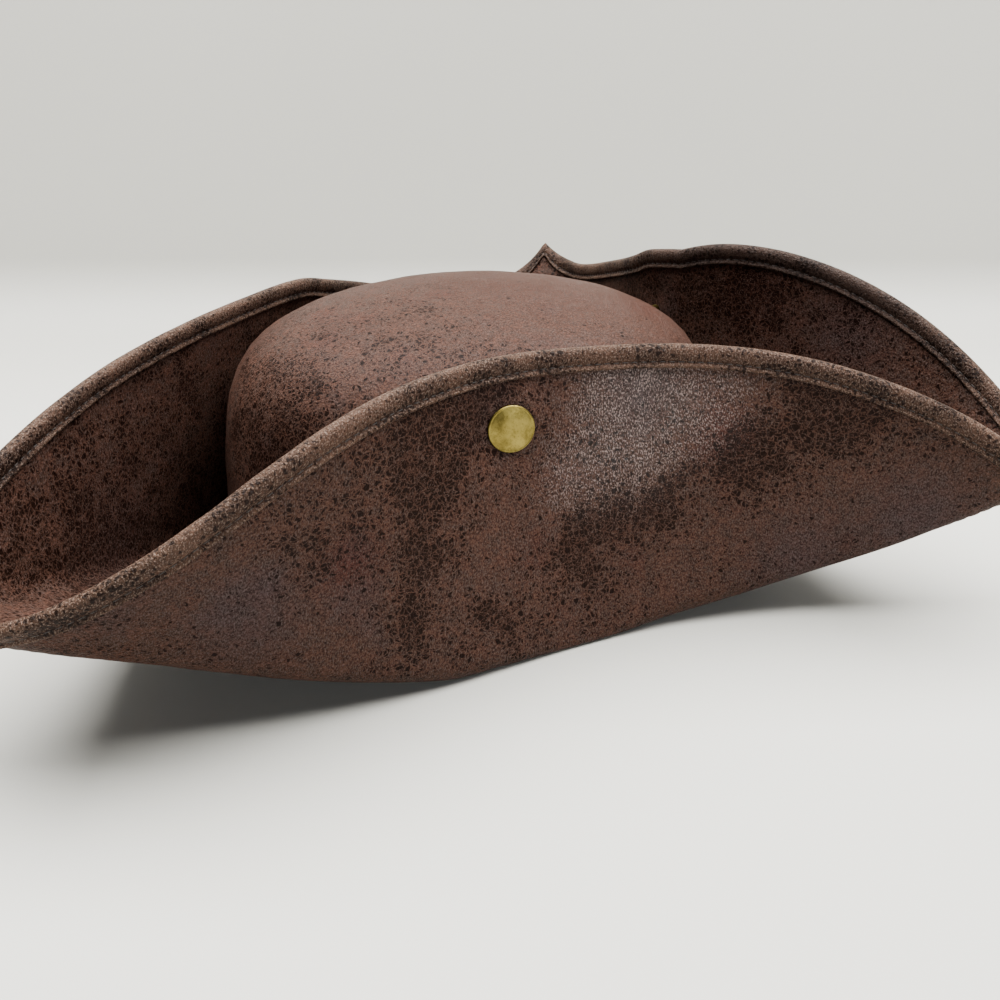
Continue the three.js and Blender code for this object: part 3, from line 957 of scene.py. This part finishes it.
def strip_finish():
    """The edge strip: the same leather, rubbed lighter along its outer bend, with a painted
    highlight along the lip's ridge, painted glints, and dirt and painted shade under the lip and
    in the stitched groove.
    """
    strip = Finish("binding_leather")
    grain = strip.noise(STRIP_GRAIN, 3, 0.7)
    patch = strip.noise(STRIP_PATCHES, 3, 0.65)
    cells = strip.cells(STRIP_NET, strip.warped(STRIP_NET_WARP, STRIP_NET_PUSH))
    left = strip.weighted(-0.62, (cells, 1.0), (patch, 0.85))
    left = strip.weighted(left, (grain, 1.1), middle=0.5)
    coat = strip.between(left, -0.06, 0.14)
    # Rubbed lighter round the bend, and a painted highlight along the lip's ridge
    rubbed_and_highlit = strip.calc("MULTIPLY", strip.attribute("rub_and_ridge_highlight"), 0.35)
    # Painted glints
    painted_strip_glints = strip.between(strip.drawn_noise(STRIP_GLINTS), 0.54, 0.68, 0.0, 0.35)
    ground = strip.mix(strip.between(patch, 0.35, 0.65), STRIP_GROUND, STRIP_SHADE)
    ground = strip.mix(rubbed_and_highlit, ground, STRIP_RUB_AND_HIGHLIGHT)
    ground = strip.mix(strip.between(grain, 0.36, 0.66, 0.6, 0.0), ground, STRIP_DARK_GRAIN)
    ground = strip.mix(painted_strip_glints, ground, STRIP_PAINTED_GLINT)
    ground = strip.mix(strip.attribute("grime"), ground, GRIME)
    # Dirt and painted shadow under the lip, and painted shade in the stitched groove
    ground = strip.mix(strip.attribute("seam_dirt_and_shade"), ground, SEAM_DIRT_AND_SHADE)
    strip.set(Base_Color=strip.mix(strip.calc("MULTIPLY", coat, 0.9), ground, STRIP_COAT))
    strip.set(Roughness=strip.between(grain, 0.3, 0.7, 0.4, 0.5), Specular_IOR_Level=DULL)
    strip.set(Coat_Weight=0.07, Coat_Roughness=0.18)
    pebbles = strip.noise(STRIP_PEBBLES, 2, 0.7)
    height = strip.weighted(0.0, (pebbles, 0.7), (strip.drawn_noise(STRIP_CREASES), 0.3))
    relief = strip.bump(height, MM)
    strip.set(Normal=relief, Coat_Normal=relief)
    return strip.material


def thread_finish():
    thread = Finish("brown_thread")
    twist = thread.noise(TWIST, 2, 0.5)
    colour = thread.mix(thread.between(twist, 0.35, 0.65), THREAD, THREAD_LIGHT)
    thread.set(Base_Color=colour, Roughness=0.62)
    thread.set(Normal=thread.bump(twist, 0.0001, 0.7))
    return thread.material


def brass_finish():
    """Antique brass: satin, finely speckled, darker where it has tarnished."""
    brass = Finish("antique_brass")
    specks = brass.noise(BRASS_SPECKS, 3, 0.7)
    tarnish = brass.noise(TARNISH, 5, 0.7)
    colour = brass.mix(brass.between(tarnish, 0.35, 0.7), BRASS, BRASS_TARNISHED)
    colour = brass.mix(brass.between(specks, 0.52, 0.72, 0.0, 0.5), colour, BRASS_SPECK)
    brass.set(Base_Color=colour, Metallic=1.0)
    brass.set(Roughness=brass.between(specks, 0.3, 0.7, 0.34, 0.5))
    brass.set(Normal=brass.bump(specks, 0.00004, 0.5))
    return brass.material


# The table, the light and the camera, in metres
TABLE_HALF_WIDTH = 3
TABLE_FRONT = -1.6
TABLE_BACK = 0.34
TABLE_BEND = 0.05
BEND_STEPS = 12
WALL_HEIGHT = 0.5

LIGHTS = [
    dict(name="ceiling", place=(0.05, 0.1, 1.3), aim=(0.05, 0.1, 0), size=(2.4, 1.4), power=184,
         colour=(1.0, 0.99, 0.965)),
    dict(name="window", place=(0.72, -0.95, 0.36), aim=(0.03, -0.06, 0.05), size=(0.14, 0.14),
         power=4.5, colour=(0.92, 0.96, 1.0)),
]
ROOM_COLOUR = (0.93, 0.95, 1.0, 1)
ROOM_STRENGTH = 0.035

CAMERA_PLACE = (-0.01325, -0.35568, 0.16949)
CAMERA_TILT = math.radians(66.96)
CAMERA_LENS = 35.16
CAMERA_SENSOR = 36


def edges_behind(bm, y):
    return [edge for edge in bm.edges if all(vert.co.y > y for vert in edge.verts)]


def pale_backdrop():
    """A table top that runs back and turns up into a wall."""
    bm = bmesh.new()
    bmesh.ops.create_grid(bm, x_segments=1, y_segments=1, size=1)
    middle = Matrix.Translation((0, (TABLE_FRONT + TABLE_BACK) / 2, 0))
    size = Matrix.Diagonal((TABLE_HALF_WIDTH, (TABLE_BACK - TABLE_FRONT) / 2, 1, 1))
    bmesh.ops.transform(bm, verts=bm.verts, matrix=middle @ size)
    rear = edges_behind(bm, TABLE_BACK - 0.01)
    bmesh.ops.spin(bm, geom=rear + [vert for edge in rear for vert in edge.verts],
                   cent=(0, TABLE_BACK, TABLE_BEND), axis=(1, 0, 0), angle=math.pi / 2,
                   steps=BEND_STEPS)
    rear = edges_behind(bm, TABLE_BACK + TABLE_BEND - 1e-4)
    raised = bmesh.ops.extrude_edge_only(bm, edges=rear)["geom"]
    raised = [part for part in raised if isinstance(part, bmesh.types.BMVert)]
    bmesh.ops.translate(bm, vec=(0, 0, WALL_HEIGHT), verts=raised)
    bmesh.ops.recalc_face_normals(bm, faces=bm.faces)
    if min(bm.faces, key=lambda face: face.calc_center_median().y).normal.z < 0:
        bmesh.ops.reverse_faces(bm, faces=bm.faces)
    paint = Finish("pale_table_paint")
    colour = paint.mix(paint.noise(3, 2, 0.5), srgb(182, 181, 175), srgb(177, 176, 170))
    paint.set(Base_Color=colour, Roughness=0.6)
    smooth_object("pale_table", bm, [paint.material])


def soft_light(name, place, aim, size, power, colour):
    data = bpy.data.lights.new(name, "AREA")
    data.shape = "RECTANGLE"
    data.size, data.size_y = size
    data.energy = power
    data.color = colour
    light = linked(name, data)
    light.location = place
    light.rotation_euler = (Vector(aim) - Vector(place)).to_track_quat("-Z", "Y").to_euler()


def room_light():
    world = bpy.data.worlds.new("pale_room")
    world.use_nodes = True
    background = world.node_tree.nodes["Background"]
    background.inputs["Color"].default_value = ROOM_COLOUR
    background.inputs["Strength"].default_value = ROOM_STRENGTH
    bpy.context.scene.world = world


def photo_camera():
    data = bpy.data.cameras.new("camera")
    data.sensor_width = CAMERA_SENSOR
    data.lens = CAMERA_LENS
    data.clip_start = 0.01
    camera = linked("camera", data)
    camera.location = CAMERA_PLACE
    camera.rotation_euler = (CAMERA_TILT, 0, 0)
    bpy.context.scene.camera = camera


photo_camera()
pale_backdrop()
room_light()
for light in LIGHTS:
    soft_light(**light)

brown_leather = leather_finish("crackled_leather", 0.6)
# The brim's inner side is the same leather with denser dark crackle, partly as painted shade
inner_leather_painted_shade = leather_finish("inner_leather_painted_shade", 0.75)
brass = brass_finish()

sheet_ribs = ribs_round(SHEET_RIBS, SHEET_CROWDING)
strip_ribs = ribs_round(STRIP_RIBS, STRIP_CROWDING)
depths = strip_depths(strip_ribs)
studs = {flap: stud_seat(flap, sheet_ribs) for flap in FLAPS}
STUDS.extend(studs.values())

leather_sheet(sheet_ribs, [inner_leather_painted_shade, brown_leather, lining_finish()])
edge_strip(strip_ribs, depths, strip_finish())
edge_stitches(strip_ribs, depths, thread_finish())
for flap, stud in studs.items():
    out = stud["out"]
    cap_seat = stud["place"] + stud["facing"] * (WALL / 2 + CAP_CLEARANCE)
    turned_piece(f"cap_{flap}", cap_outline(), cap_seat, stud["facing"], brass,
                 [f"snap_cap_{flap}"])
    flange_seat = stud["crown_spot"] - out * (WALL / 2 + FLANGE_CLEARANCE + FLANGE_THICKNESS)
    length = (cap_seat - flange_seat).dot(out)
    turned_piece(f"post_{flap}", post_outline(length), flange_seat, out, brass,
                 [f"snap_post_{flap}"])
